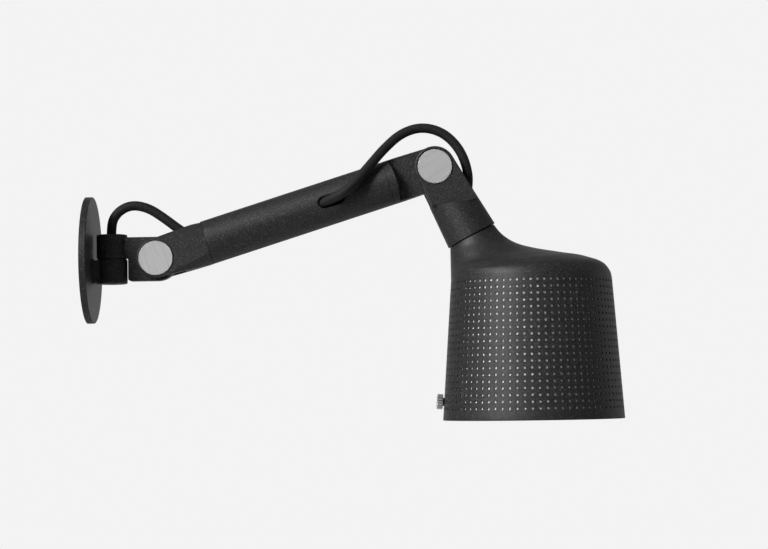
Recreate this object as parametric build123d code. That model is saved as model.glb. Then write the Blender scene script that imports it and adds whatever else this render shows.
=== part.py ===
from build123d import *
from math import acos, atan2, cos, hypot, pi, radians, sin, tan
import os

# A wall lamp: a round plate, a vertical knuckle, a straight arm with a pivot at each end, and a tilting
# perforated-metal shade with a dimmer knob. Millimetres. The origin is the centre of the plate's back face,
# on the wall. +X points out of the wall, +Z up, and the lamp is symmetrical about the plane Y = 0.

# Fits
RUN = 0.05            # radial or axial clearance of a running fit
SEAT = 0.02           # clearance of a screwed or pushed fit
SHOW = 0.6            # gap that shows as a dark line between two castings
BITE = 1              # how far a cut runs past a face, or a shaft runs into its head

# Wall plate and bracket
PLATE_D = 100
PLATE_T = 5.3
PLATE_ROUND = 0.6
RIM_W = 3             # rim around the recess at the back
RECESS = 3            # depth of that recess
BOSS_D = 44           # full-thickness middle of the plate
BRACKET_T = 1.5
BRACKET_GAP = 2       # bracket to rim, all round
EAR_T = 2             # thickness of the bent ears
EAR_W = 12
FIX_SPACING = 60      # wall screw holes, centre to centre
FIX_HOLE_D = 5
GRUB_D = 2.5
EAR_GAP = 1.5         # ears to the plate's rim

# Wall knuckle
BARREL_X = 19.6       # barrel axis to wall
BARREL_D = 24.3
BARREL_TOP = 20
BARREL_BOTTOM = -19
BARREL_ROUND = 1.2
BARREL_GAP = 0.6      # between the two barrels
BARREL_SPLIT = 0.8    # height of the middle of that gap
STEM_W = 17
STEM_INSET = 1        # stem is this much lower than the barrel at each end
STEM_FILLET = 2.5
CHAMBER_D = 16        # hollow of the lower barrel
CHAMBER_ROOF = 4.75   # metal above the hollow
THRUST_INSET = 1      # thrust washer's edge to the barrel's side
PLUG_D = 17
PLUG_T = 3.4
PLUG_INSET = 0.4
SOCKET_AF = 8
SOCKET_DEEP = 2.2
PIVOT_TUBE_D = 10
PIVOT_TUBE_BORE = 6
PIVOT_TUBE_LOW = 5.4  # length of the tube below the roof of the hollow
PIVOT_TUBE_HIGH = 7.75
THIN_NUT_AF = 13
THIN_NUT_T = 3.4
SPRING_WASHER_T = 1.3
SPRING_WASHER_GAP = 0.5
BASE_SCREW_D = 3
BASE_SCREW_L = 10
BASE_SCREW_Y = 5.6
BASE_SCREW_Z = -8
BASE_SCREW_HEAD = 6
WIRE_D = 2
WIRE_Z = -13.2
WIRE_BEND = 3
WIRE_ROOM = 1         # spare width of the wires' hole
BUSH_WALL = 2         # rubber bush around the cord

# Swivel block and elbow pivot
TANG_T = 12           # thickness of the flat tongue between two cheeks
BLOCK_H = 34.5
BLOCK_GAP = 1.15      # block to lower barrel
BLOCK_CORNER = 2
ELBOW_X = 55.6        # elbow pivot to wall
ELBOW_Z = 0.35        # its height above the plate's middle
WASHER_T = 0.45       # friction washers between tongue and cheeks
WASHER_D = 24
DISC_D = 27           # brushed pivot discs
DISC_T = 3
DISC_PROUD = 0.5
DISC_CHAMFER = 0.35
DISC_GAP = 0.7        # all round a disc, in its pocket
SLEEVE_D = 10
PIVOT_SCREW_D = 6

# Arm
ARM_ANGLE = 17.4      # degrees above horizontal
ARM_L = 230.5         # pivot to pivot
TUBE_D = 35.1
TUBE_WALL = 2.25
FORK_W = 30           # across the two cheeks
FORK_END_R = 15.1
FORK_ROUND = 0.8
FORK_CONE_R = 21.5    # at the pivot, the cone that turns the cheeks into the round of the tube
FORK_L = 41.4         # elbow pivot to the seam with the tube
FORK_FLOOR = 4        # metal under the cord's way in
SWING_GAP = 1         # end of the block to the root of the fork
SPIGOT_L = 15
SPIGOT_WALL = 3
SEAM = 0.3
END_L = 38.6          # head pivot to the far seam
END_TONGUE = 32       # head pivot to the crown of the shoulder
TONGUE_END_R = 16.4
SHOULDER_R = 60       # the shoulder is an arc seen from the side
SLOT_FROM_END = 46.9  # far seam to the middle of the cord slot
SLOT_L = 21
SLOT_W = 9.6
SLOT_CHAMFER = 1.1
TUBE_GRUB_D = 4
TUBE_GRUB_L = 5
TUBE_GRUB_INSET = 7.5

# Head yoke and neck
NECK_TILT = 27.8      # degrees from vertical
YOKE_W = 28.4         # across the two cheeks
YOKE_END_R = 16.1
YOKE_FOOT_R = 18.2    # half width of the cheeks at the foot of their flats
YOKE_ROUND = 1.2      # edges of the cheeks
YOKE_CORNER = 2.5     # lower corners of the flats
NECK_L = 61.1         # head pivot to the foot of the yoke
NECK_D = 41.4
NECK_TAPER = 3.63     # degrees, each side
FLAT_LEFT = 25        # head pivot to the foot of the flats, on the arm's side
FLAT_RIGHT = 40.1     # and on the far side
FLOOR_LEFT = 24.3     # to the floor of the gap between the cheeks, on the arm's side
FLOOR_RIGHT = 36.2    # and on the far side
NECK_TUBE_D = 12
NECK_TUBE_BORE = 8
NECK_TUBE_TOP = 48
NECK_TUBE_END = 76
NECK_CAP_T = 3        # top wall of the shade's neck
CORD_WAY_ROOM = 2.5   # all round the cord where it enters the neck
CORD_ENTRY = (27.2, 15.4)  # its entry into the neck, along and across from the head pivot
CORD_TURN = 4         # from its turn into the neck's axis to the top of the neck tube
NECK_WASHER_D = 34
LOWER_WASHER_D = 22
LOWER_WASHER_T = 0.75
NECK_NUT_AF = 19
NECK_NUT_T = 5

# Lampholder and bulb
HOLDER_D = 27
HOLDER_WALL = 2
HOLDER_STEP = 0.5     # the body is this much smaller than the cap, all round
HOLDER_CAP_L = 12
HOLDER_BODY_L = 22
HOLDER_THREAD_D = 14.2
CONTACT_D = 6
CONTACT_T = 2
BULB_BASE_D = 13.8
BULB_BASE_L = 19
GLOBE_D = 45
GLOBE_WALL = 1
BULB_L = 78

# Shade
SHADE_REACH = 75.05   # head pivot to the shade's axis, level
SHADE_DROP = 92.18    # head pivot down to where the plain cone starts
SHADE_H = 107.4       # height of the plain cone
SHADE_WALL = 1
SHADE_TOP_R = 63.6
SHADE_RIM_R = 71.45
SHADE_NECK_INSET = 1.1
RIM_ROUND = 0.4
LINER_T = 0.8         # white liner behind the perforated wall
LINER_GAP = 0.15
LINER_ABOVE = 3       # liner's top edge above the plain cone's
LINER_INSET = 4       # liner's lower edge above the rim
SHOULDER_SHARES = [   # the shoulder's way from the neck to the cone, as shares of its reach and of its drop
    (0, 0),
    (0.0565, 0.1427),
    (0.148, 0.2802),
    (0.227, 0.3495),
    (0.315, 0.3965),
    (0.566, 0.4903),
    (0.7799, 0.5692),
    (0.948, 0.7206),
    (0.988, 0.85),
    (1, 1),
]
LEFT_SHARES = [0, 0.08, 0.17, 0.28, 0.44, 0.60, 0.71, 0.82, 0.91, 1]  # the same on the straight left side

# Dimmer
DIMMER_UP = 14.6      # dimmer's axis above the rim
KNOB_D = 12.2
KNOB_L = 4.8
KNOB_GAP = 1
KNOB_FACE = 1         # metal over the end of the shaft
KNOB_TEETH = 18
KNOB_TOOTH = 0.6
DIMMER_BUSH_D = 6.3
DIMMER_SHAFT_D = 4
DIMMER_NUT_AF = 10
DIMMER_NUT_T = 2
DIMMER_NUT_GAP = 0.5  # flat nut to the middle of the curved wall
DIMMER_BODY_D = 16
DIMMER_BODY_L = 8
LEAD_D = 4
LEAD_GAP = 0.3        # ends of the lead to what they enter
LEAD_STUB = 8         # straight end of the lead at the lampholder
LEAD_ROUTE = [(38, 7.7), (62, 6.4), (86, 5.8), (104, 4.6)]  # its height above the rim, and off the liner

# Cord
CORD_D = 7

# Frames: the wall's looks out along +X, the arm's and head's have x along the piece and z towards -Y
BASE = (Align.CENTER, Align.CENTER, Align.MIN)
elbow = Vector(ELBOW_X, 0, ELBOW_Z)
arm_dir = Vector(cos(radians(ARM_ANGLE)), 0, sin(radians(ARM_ANGLE)))
head_pivot = elbow + arm_dir * ARM_L
neck_dir = Vector(sin(radians(NECK_TILT)), 0, -cos(radians(NECK_TILT)))
across_dir = Vector(cos(radians(NECK_TILT)), 0, sin(radians(NECK_TILT)))
FRONT = Vector(0, -1, 0)
wall = Plane(origin=(0, 0, 0), x_dir=(0, 1, 0), z_dir=(1, 0, 0))
barrel = Plane(origin=(BARREL_X, 0, 0))
arm = Plane(origin=elbow, x_dir=arm_dir, z_dir=FRONT)
head = Plane(origin=head_pivot, x_dir=neck_dir, z_dir=FRONT)
arm_axis = Plane(origin=elbow, x_dir=FRONT, z_dir=arm_dir)
neck_axis = Plane(origin=head_pivot, x_dir=FRONT, z_dir=neck_dir)
nodes = {}


def rod(frame, diameter, start, end):
    """A cylinder along the frame's normal, from one height to another."""
    return frame * Pos(0, 0, start) * Cylinder(diameter / 2, end - start, align=BASE)


def ring(frame, outer, inner, start, end):
    """A tube along the frame's normal."""
    return rod(frame, outer, start, end) - rod(frame, inner, start, end)


def prism(frame, outline, start, end):
    """A flat outline carried along the frame's normal, from one height to another."""
    return frame * Pos(0, 0, start) * extrude(outline, end - start)


def slab(frame, xs, ys, zs):
    """A box between two limits along each of the frame's axes."""
    size = [b - a for a, b in (xs, ys, zs)]
    middle = [(a + b) / 2 for a, b in (xs, ys, zs)]
    return frame * Pos(*middle) * Box(*size)


def hexagon(across_flats):
    return RegularPolygon(across_flats / 2, 6, major_radius=False)


def shifted(frame, x, y):
    """The same frame with its origin moved in its own plane."""
    return Plane(origin=frame.from_local_coords((x, y, 0)), x_dir=frame.x_dir, z_dir=frame.z_dir)


def cord(name, points, diameter):
    """A round cord: straight runs joined by the largest arcs that the runs leave room for."""
    points = [Vector(*p) for p in points]
    radii = []
    for a, b, c in zip(points, points[1:], points[2:]):
        run = min((b - a).length, (c - b).length)
        half_turn = radians((b - a).get_angle(c - b)) / 2
        radii.append(0.45 * run / tan(half_turn))
    path = FilletPolyline(*points, radius=radii)
    start = Plane(origin=path @ 0, z_dir=path % 0)
    solid = sweep(start * Circle(diameter / 2), path)
    plain = pi * diameter**2 / 4 * path.length
    print(name, "length", round(path.length, 1), "volume ratio", round(solid.volume / plain, 4))
    print(name, "radii", [round(r, 1) for r in radii])
    return solid


# Wall plate: a turned disc with a recess at the back and a solid middle that carries the knuckle
base_screw_places = [shifted(wall, side * BASE_SCREW_Y, BASE_SCREW_Z) for side in (-1, 1)]
wire_way = shifted(wall, 0, WIRE_Z)
ear_outer = PLATE_D / 2 - RIM_W - EAR_GAP
grub_x = RECESS - GRUB_D / 2
grub_frames = [
    Plane(origin=(grub_x, 0, 0), x_dir=(1, 0, 0), z_dir=(0, 0, side)) for side in (-1, 1)
]
wire_hole_d = 2 * WIRE_D + WIRE_ROOM
plate = rod(wall, PLATE_D, 0, PLATE_T)
plate = fillet(plate.edges().sort_by(Axis.X)[-1], PLATE_ROUND)
plate -= ring(wall, PLATE_D - 2 * RIM_W, BOSS_D, 0, RECESS)
plate -= rod(wire_way, wire_hole_d, 0, PLATE_T)
screw_head_h = (BASE_SCREW_HEAD - BASE_SCREW_D) / 2
for place in base_screw_places:
    plate -= rod(place, BASE_SCREW_D + 2 * RUN, 0, PLATE_T)
    plate -= place * Cone(BASE_SCREW_HEAD / 2 + RUN, BASE_SCREW_D / 2 + RUN, screw_head_h, align=BASE)
for frame in grub_frames:
    plate -= rod(frame, GRUB_D + 2 * SEAT, ear_outer, PLATE_D / 2 + BITE)
nodes["wall_plate"] = plate

# Wall bracket: a flat steel ring with two wall screw holes and two bent ears that the grub screws bite on
bracket_d = PLATE_D - 2 * (RIM_W + BRACKET_GAP)
bracket = ring(wall, bracket_d, BOSS_D + BRACKET_GAP, 0, BRACKET_T)
for side in (-1, 1):
    bracket -= rod(shifted(wall, side * FIX_SPACING / 2, 0), FIX_HOLE_D, 0, BRACKET_T)
    ear = sorted((side * ear_outer, side * (ear_outer - EAR_T)))
    bracket += slab(wall, (-EAR_W / 2, EAR_W / 2), ear, (0, RECESS - RUN))
nodes["wall_bracket"] = bracket
nodes["plate_grub_screws"] = Compound(
    children=[rod(frame, GRUB_D, ear_outer, PLATE_D / 2 - PLATE_ROUND / 2) for frame in grub_frames]
)

# Hinge base: the lower barrel, hollow, on a stem that is screwed to the plate from behind
low_top = BARREL_SPLIT - BARREL_GAP / 2
high_foot = BARREL_SPLIT + BARREL_GAP / 2
roof = low_top - CHAMBER_ROOF
plug_top = BARREL_BOTTOM + PLUG_INSET + PLUG_T
lower_barrel = rod(barrel, BARREL_D, BARREL_BOTTOM, low_top)
lower_barrel = fillet(lower_barrel.edges().filter_by(GeomType.CIRCLE), BARREL_ROUND)
stem_z = (BARREL_BOTTOM + STEM_INSET, low_top - STEM_INSET)
stem_mid = shifted(wall, 0, sum(stem_z) / 2)
stem = slab(wall, (-STEM_W / 2, STEM_W / 2), stem_z, (PLATE_T, BARREL_X))
stem_h = stem_z[1] - stem_z[0]
flare = loft(
    [
        stem_mid * Pos(0, 0, PLATE_T + step) * Rectangle(STEM_W + 2 * out, stem_h + 2 * out)
        for step, out in (
            (STEM_FILLET * (1 - cos(radians(turn))), STEM_FILLET * (1 - sin(radians(turn))))
            for turn in (0, 30, 60, 90)
        )
    ],
    ruled=True,
)
hinge_base = stem + flare + lower_barrel
hinge_base -= rod(barrel, CHAMBER_D, plug_top, roof)
hinge_base -= rod(barrel, PLUG_D, BARREL_BOTTOM - BITE, plug_top)
hinge_base -= rod(barrel, PIVOT_TUBE_D + 2 * RUN, roof - BITE, low_top + BITE)
hinge_base -= rod(wire_way, wire_hole_d, PLATE_T - BITE, BARREL_X)
for place in base_screw_places:
    hinge_base -= rod(place, BASE_SCREW_D + 2 * SEAT, PLATE_T - BITE, BASE_SCREW_L + BITE)
nodes["hinge_base"] = hinge_base
nodes["hinge_base_screws"] = Compound(
    children=[
        rod(place, BASE_SCREW_D, 0, BASE_SCREW_L)
        + place * Cone(BASE_SCREW_HEAD / 2, BASE_SCREW_D / 2, screw_head_h, align=BASE)
        for place in base_screw_places
    ]
)

# Barrel plug: a round plug with a hexagon socket that closes the lower barrel
plug_bottom = plug_top - PLUG_T
plug = rod(barrel, PLUG_D - 2 * SEAT, plug_bottom, plug_top)
plug -= prism(barrel, hexagon(SOCKET_AF), plug_bottom, plug_bottom + SOCKET_DEEP)
nodes["barrel_plug"] = plug

# Thrust washer between the barrels, a little smaller so that the joint shows as a dark line
washer_hole_d = PIVOT_TUBE_D + 4 * RUN
nodes["swivel_washer"] = ring(
    barrel, BARREL_D - 2 * THRUST_INSET, washer_hole_d, low_top, high_foot - RUN
)

# Pivot tube, nut and spring washer: they hang in the lower barrel and turn with the upper one
tube_foot = roof - PIVOT_TUBE_LOW
nut_top = roof - SPRING_WASHER_T
nodes["swivel_tube"] = ring(barrel, PIVOT_TUBE_D, PIVOT_TUBE_BORE, tube_foot, PIVOT_TUBE_HIGH)
nodes["swivel_spring_washer"] = ring(
    barrel, CHAMBER_D - 2 * SPRING_WASHER_GAP, washer_hole_d, nut_top, roof - RUN
)
nodes["swivel_nut"] = prism(barrel, hexagon(THIN_NUT_AF), nut_top - THIN_NUT_T, nut_top) - rod(
    barrel, PIVOT_TUBE_D + 2 * SEAT, nut_top - THIN_NUT_T, nut_top
)

# Supply wires: two insulated wires from the wall, along the stem and up through the pivot tube
wire_offset = WIRE_D / 2 + SEAT
supply_wires = []
for side in (-1, 1):
    route = FilletPolyline(
        (0, side * wire_offset, WIRE_Z),
        (BARREL_X, side * wire_offset, WIRE_Z),
        (BARREL_X, side * wire_offset, PIVOT_TUBE_HIGH),
        radius=WIRE_BEND,
    )
    start = Plane(origin=route @ 0, z_dir=route % 0)
    supply_wires.append(sweep(start * Circle(WIRE_D / 2), route))
nodes["supply_wires"] = Compound(children=supply_wires)

# Swivel block: the upper barrel and a flat block whose tongue fits in the arm's fork
upper_barrel = rod(barrel, BARREL_D, high_foot, BARREL_TOP)
upper_barrel = fillet(upper_barrel.edges().filter_by(GeomType.CIRCLE), BARREL_ROUND)
side_view = Plane(origin=(0, 0, 0), x_dir=(1, 0, 0), z_dir=FRONT)
block_left = BARREL_X + BARREL_D / 2 + BLOCK_GAP
block_outline = (
    Pos(ELBOW_X, ELBOW_Z) * Circle(BLOCK_H / 2)
    + Pos((block_left + ELBOW_X) / 2, ELBOW_Z) * Rectangle(ELBOW_X - block_left, BLOCK_H)
)
block_corners = block_outline.vertices().group_by(Axis.X)[0]
block_outline = fillet(block_corners, BLOCK_CORNER)
block_top = ELBOW_Z + BLOCK_H / 2
link_outline = Pos((BARREL_X + ELBOW_X) / 2, (block_top + high_foot) / 2) * Rectangle(
    ELBOW_X - BARREL_X, block_top - high_foot
)
swivel_block = prism(side_view, block_outline, -TANG_T / 2, TANG_T / 2)
swivel_block -= rod(barrel, BARREL_D + 2 * BLOCK_GAP, BARREL_BOTTOM - BITE, high_foot)
swivel_block += prism(side_view, link_outline, -TANG_T / 2, TANG_T / 2)
swivel_block += upper_barrel
bush_d = CORD_D + 2 * BUSH_WALL
swivel_block -= rod(barrel, PIVOT_TUBE_D + 2 * SEAT, low_top, PIVOT_TUBE_HIGH)
swivel_block -= rod(barrel, bush_d + 2 * SEAT, PIVOT_TUBE_HIGH, BARREL_TOP + BITE)
elbow_axis = Plane(origin=elbow, x_dir=(1, 0, 0), z_dir=FRONT)
head_axis = Plane(origin=head_pivot, x_dir=(1, 0, 0), z_dir=FRONT)
swivel_block -= rod(elbow_axis, SLEEVE_D + 2 * RUN, -TANG_T, TANG_T)
nodes["swivel_block"] = swivel_block
nodes["cord_bush"] = ring(barrel, bush_d, CORD_D + 2 * SEAT, PIVOT_TUBE_HIGH, BARREL_TOP - PLUG_INSET)

# Pivot hardware, the same at both ends of the arm: a disc-headed screw, a sleeve nut with the same disc
# on the far side, and two friction washers between tongue and cheeks
gap_half = TANG_T / 2 + RUN + WASHER_T


def pivot_hardware(name, frame, width):
    face = width / 2 + DISC_PROUD
    seat = face - DISC_T
    disc = chamfer(rod(frame, DISC_D, seat, face).edges(), DISC_CHAMFER)
    rear_disc = chamfer(rod(frame, DISC_D, -face, -seat).edges(), DISC_CHAMFER)
    nodes[name + "_screw"] = disc + rod(frame, PIVOT_SCREW_D, -gap_half, seat + BITE)
    nodes[name + "_sleeve_nut"] = rear_disc + ring(
        frame, SLEEVE_D, PIVOT_SCREW_D + 2 * SEAT, -seat - BITE, seat - RUN
    )
    nodes[name + "_friction_washers"] = Compound(
        children=[
            ring(frame, WASHER_D, SLEEVE_D + 4 * RUN, start, start + WASHER_T)
            for start in (-gap_half, gap_half - WASHER_T)
        ]
    )


def pivot_holes(frame, width):
    """The hole for the sleeve and the two pockets for the discs."""
    face = width / 2
    pocket = DISC_T - DISC_PROUD
    holes = rod(frame, SLEEVE_D + 2 * SEAT, -face, face)
    holes += rod(frame, DISC_D + 2 * DISC_GAP, face - pocket, face + BITE)
    holes += rod(frame, DISC_D + 2 * DISC_GAP, -face - BITE, pocket - face)
    return holes


def tapered_end(radius, reach, half_height):
    """A round end about the pivot, widening along its tangents to a given half height at a given reach."""
    turn = atan2(half_height, reach) + acos(radius / hypot(reach, half_height))
    touch = (radius * cos(turn), radius * sin(turn))
    corners = [touch, (reach, half_height), (reach, -half_height), (touch[0], -touch[1])]
    return Circle(radius) + make_face(Polyline(*corners, close=True))


pivot_hardware("elbow", elbow_axis, FORK_W)
pivot_hardware("head", head_axis, YOKE_W)

# Arm fork: two flat cheeks that a cone turns into the round of the tube, with a way in for the cord from above
cheeks = prism(Plane.XY, tapered_end(FORK_END_R, FORK_L, TUBE_D / 2), -FORK_W / 2, FORK_W / 2)
cheek_sides = cheeks.faces().sort_by(Axis.Z)
outer_edges = [edge for side in (0, -1) for edge in cheek_sides[side].edges().sort_by(Axis.X)[:-1]]
cheeks = arm * fillet(outer_edges, FORK_ROUND)
tube_bore = TUBE_D - 2 * TUBE_WALL
cone_grows = (FORK_CONE_R - TUBE_D / 2) / FORK_L
run_out = arm_axis * Pos(0, 0, -FORK_L) * Cone(
    FORK_CONE_R + cone_grows * FORK_L, TUBE_D / 2, 2 * FORK_L, align=BASE
)
spigot_bore = tube_bore - 2 * SPIGOT_WALL
fork = (cheeks & run_out) + rod(arm_axis, tube_bore - 2 * SEAT, FORK_L - BITE, FORK_L + SPIGOT_L)
swing = BLOCK_H / 2 + SWING_GAP
fork -= slab(arm, (-TUBE_D, swing), (-TUBE_D, TUBE_D), (-gap_half, gap_half))
fork -= slab(arm, (0, FORK_L - SEAM), (FORK_FLOOR - TUBE_D / 2, TUBE_D), (-gap_half, gap_half))
fork -= rod(arm_axis, spigot_bore, FORK_L - 2 * BITE, FORK_L + SPIGOT_L + BITE)
fork -= pivot_holes(elbow_axis, FORK_W)

# Arm end: a plug in the tube, a round shoulder and the flat tongue of the head pivot
end_seam = ARM_L - END_L
end_shoulder = ARM_L - END_TONGUE
shoulder_centre = shifted(arm, end_shoulder - SHOULDER_R, 0)
shoulder = rod(arm_axis, TUBE_D, end_seam, end_shoulder + BITE) & rod(
    shoulder_centre, 2 * SHOULDER_R, -TUBE_D, TUBE_D
)
tongue = Pos(ARM_L, 0) * Rot(0, 0, 180) * tapered_end(TONGUE_END_R, END_TONGUE, TUBE_D / 2)
tongue += Pos((end_seam + end_shoulder) / 2, 0) * Rectangle(end_shoulder - end_seam, TUBE_D)
tongue = prism(arm, tongue, -TANG_T / 2, TANG_T / 2) & rod(arm_axis, TUBE_D, end_seam, ARM_L + TUBE_D)
arm_end = shoulder + tongue
arm_end += ring(arm_axis, tube_bore - 2 * SEAT, spigot_bore, end_seam - SPIGOT_L, end_seam + SEAM)
arm_end -= rod(head_axis, SLEEVE_D + 2 * RUN, -TANG_T, TANG_T)

# Arm tube: a plain tube with a chamfered slot for the cord on the side that faces -Y
tube = ring(arm_axis, TUBE_D, tube_bore, FORK_L + SEAM, end_seam - SEAM)
slot_frame = shifted(arm, end_seam - SLOT_FROM_END, 0)
slot_face = TUBE_D / 2 - SLOT_CHAMFER
tube -= prism(slot_frame, SlotOverall(SLOT_L, SLOT_W), 0, TUBE_D)
slot_flare = extrude(SlotOverall(SLOT_L, SLOT_W), 2 * SLOT_CHAMFER, taper=-45)
tube -= slot_frame * Pos(0, 0, slot_face) * slot_flare

# Grub screws that hold the tube on both castings, from behind
tube_grubs = []
for place in (FORK_L + TUBE_GRUB_INSET, end_seam - TUBE_GRUB_INSET):
    grub_frame = shifted(arm, place, 0)
    hole = rod(grub_frame, TUBE_GRUB_D + 2 * SEAT, -TUBE_D, 0)
    fork -= hole
    arm_end -= hole
    tube -= hole
    grub_face = SEAM - TUBE_D / 2
    tube_grubs.append(rod(grub_frame, TUBE_GRUB_D, grub_face, grub_face + TUBE_GRUB_L))
nodes["arm_fork"] = fork
nodes["arm_tube"] = tube
nodes["arm_end"] = arm_end
nodes["tube_grub_screws"] = Compound(children=tube_grubs)

# Head yoke: a conical neck, and above it two flat cheeks with a round end about the pivot; the gap between them
# takes the tongue and the cord
def above_line(left, right):
    """Everything above a line across the neck, given how far down it is on either side, in the head's frame."""
    far = NECK_L + NECK_D
    slope = (right - left) / NECK_D
    middle = (right + left) / 2
    corners = [(-far, -far), (middle - slope * far, -far), (middle + slope * far, far), (-far, far)]
    return make_face(Polyline(*corners, close=True))


neck_top_d = NECK_D - 2 * NECK_L * tan(radians(NECK_TAPER))
neck_cone = neck_axis * Cone(neck_top_d / 2, NECK_D / 2, NECK_L, align=BASE)
cheek_outline = tapered_end(YOKE_END_R, FLAT_RIGHT, YOKE_FOOT_R)
flat_outline = cheek_outline & above_line(FLAT_LEFT, FLAT_RIGHT)
flat_outline = fillet(flat_outline.vertices().sort_by(Axis.X)[-2:], YOKE_CORNER)
flats = prism(Plane.XY, flat_outline, -YOKE_W / 2, YOKE_W / 2)
flat_sides = flats.faces().sort_by(Axis.Z)
flats = head * fillet([edge for side in (0, -1) for edge in flat_sides[side].edges()], YOKE_ROUND)
waist_r = neck_top_d / 2 + FLAT_RIGHT * tan(radians(NECK_TAPER))
waist_outline = tapered_end(YOKE_END_R, FLAT_RIGHT, waist_r)
root = prism(head, waist_outline, -YOKE_W / 2, YOKE_W / 2) & neck_cone
yoke = neck_cone - prism(head, above_line(FLAT_LEFT, FLAT_RIGHT), -NECK_D, NECK_D) + root + flats
yoke -= prism(head, above_line(FLOOR_LEFT, FLOOR_RIGHT), -gap_half, gap_half)
yoke -= pivot_holes(head_axis, YOKE_W)
cord_way_d = CORD_D + 2 * CORD_WAY_ROOM
yoke -= rod(neck_axis, NECK_TUBE_D + 2 * SEAT, NECK_TUBE_TOP - cord_way_d / 2, NECK_L + BITE)
cord_way_start = head.from_local_coords((*CORD_ENTRY, 0))
cord_way_end = head.from_local_coords((NECK_TUBE_TOP - CORD_TURN, 0, 0))
cord_way = Plane(origin=cord_way_start, x_dir=FRONT, z_dir=cord_way_end - cord_way_start)
yoke -= rod(cord_way, cord_way_d, -CORD_D, (cord_way_end - cord_way_start).length)
nodes["head_yoke"] = yoke

# Neck tube, washers and nut: they clamp the shade's neck so that it turns with friction
shade_face = NECK_L + SHOW
shade_under = shade_face + NECK_CAP_T
nut_face = shade_under + RUN + LOWER_WASHER_T
holder_face = nut_face + NECK_NUT_T
neck_hole_d = NECK_TUBE_D + 2 * RUN
nodes["neck_tube"] = ring(neck_axis, NECK_TUBE_D, NECK_TUBE_BORE, NECK_TUBE_TOP, NECK_TUBE_END)
nodes["neck_washer_upper"] = ring(neck_axis, NECK_WASHER_D, neck_hole_d, NECK_L, shade_face - RUN)
nodes["neck_washer_lower"] = ring(neck_axis, LOWER_WASHER_D, neck_hole_d, shade_under + RUN, nut_face)
nodes["neck_nut"] = prism(neck_axis, hexagon(NECK_NUT_AF), nut_face, holder_face) - rod(
    neck_axis, NECK_TUBE_D + 2 * SEAT, nut_face, holder_face
)

# Lampholder: a cap screwed on the neck tube, a body with the lamp thread, and the centre contact
cap_end = holder_face + HOLDER_CAP_L
body_end = cap_end + HOLDER_BODY_L
holder_cap = rod(neck_axis, HOLDER_D, holder_face, cap_end)
holder_cap = fillet(holder_cap.edges().group_by(Axis.Z)[-1], HOLDER_WALL)
holder_cap -= rod(neck_axis, NECK_TUBE_D + 2 * SEAT, holder_face - BITE, cap_end)
holder_cap -= rod(neck_axis, HOLDER_D - 2 * HOLDER_WALL, NECK_TUBE_END, cap_end)
nodes["lampholder_cap"] = holder_cap
holder_body = rod(neck_axis, HOLDER_D - 2 * HOLDER_STEP, cap_end, body_end)
holder_body -= rod(neck_axis, HOLDER_THREAD_D, cap_end + HOLDER_WALL, body_end)
nodes["lampholder_body"] = holder_body
bulb_tip = cap_end + HOLDER_WALL + CONTACT_T
nodes["lampholder_contact"] = rod(neck_axis, CONTACT_D, bulb_tip - CONTACT_T, bulb_tip)

# Bulb: a screw base and an opal globe, both on the neck's axis
base_end = bulb_tip + BULB_BASE_L
nodes["bulb_base"] = rod(neck_axis, BULB_BASE_D, bulb_tip, base_end)
globe_r = GLOBE_D / 2
globe_middle = bulb_tip + BULB_L - globe_r


def globe(inset):
    """The bulb's form, turned from a neck, a straight flare that touches the sphere, and the sphere."""
    radius = globe_r - inset
    foot_r = BULB_BASE_D / 2 - inset
    start = base_end
    drop = globe_middle - start
    turn = atan2(foot_r, -drop) - acos(radius / hypot(drop, foot_r))
    touch = (radius * sin(turn), globe_middle + radius * cos(turn))
    end = (0, globe_middle + radius)
    bulge = ThreePointArc(touch, (radius, globe_middle), end)
    outline = Polyline((0, end[1]), (0, start), (foot_r, start), touch)
    profile = make_face([*outline.edges(), *bulge.edges()])
    return revolve(Plane.XZ * profile, Axis.Z)


nodes["bulb_globe"] = neck_axis * (globe(0) - globe(GLOBE_WALL))

# Shade: a plain cone below, and above it a hood of circles, each spanning the shade from its straight left
# side to its shoulder on the right, from the tilted neck down to the cone. Points are (X, Z).
neck_middle = head_pivot + neck_dir * shade_face
neck_r = NECK_D / 2 - SHADE_NECK_INSET
neck_left = neck_middle - across_dir * neck_r
neck_right = neck_middle + across_dir * neck_r
shade_x = head_pivot.X + SHADE_REACH
cone_top = head_pivot.Z - SHADE_DROP
rim = cone_top - SHADE_H
cone_slope = (SHADE_RIM_R - SHADE_TOP_R) / SHADE_H
left_foot = Vector(shade_x - SHADE_TOP_R, 0, cone_top)
right_foot = Vector(shade_x + SHADE_TOP_R, 0, cone_top)


def part_way(top, foot, reach, drop):
    """A point between two others, by a share of the reach along X and a share of the drop along Z."""
    return Vector(top.X + reach * (foot.X - top.X), 0, top.Z + drop * (foot.Z - top.Z))


shoulder_points = [part_way(neck_right, right_foot, *shares) for shares in SHOULDER_SHARES]
left_points = [part_way(neck_left, left_foot, share, share) for share in LEFT_SHARES]


def circle_on(left, right):
    """An upright circle that has its diameter from one point to another in the plane Y = 0."""
    span = right - left
    upright = Plane(origin=(left + right) / 2, x_dir=(0, 1, 0), z_dir=(-span.Z, 0, span.X))
    return upright * Circle(span.length / 2)


def inside(points, i, inset):
    """A point of one of the hood's side lines, moved to the line's right by an inset."""
    before = points[max(i - 1, 0)]
    after = points[min(i + 1, len(points) - 1)]
    along = (after - before).normalized()
    return points[i] + Vector(along.Z, 0, -along.X) * inset


def meet_cap(points, inset, drop):
    """Where a side line, moved in, reaches a given distance down the neck."""
    first = inside(points, 0, inset)
    along = points[1] - points[0]
    return first + along * ((drop - (first - neck_middle).dot(neck_dir)) / along.dot(neck_dir))


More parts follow.
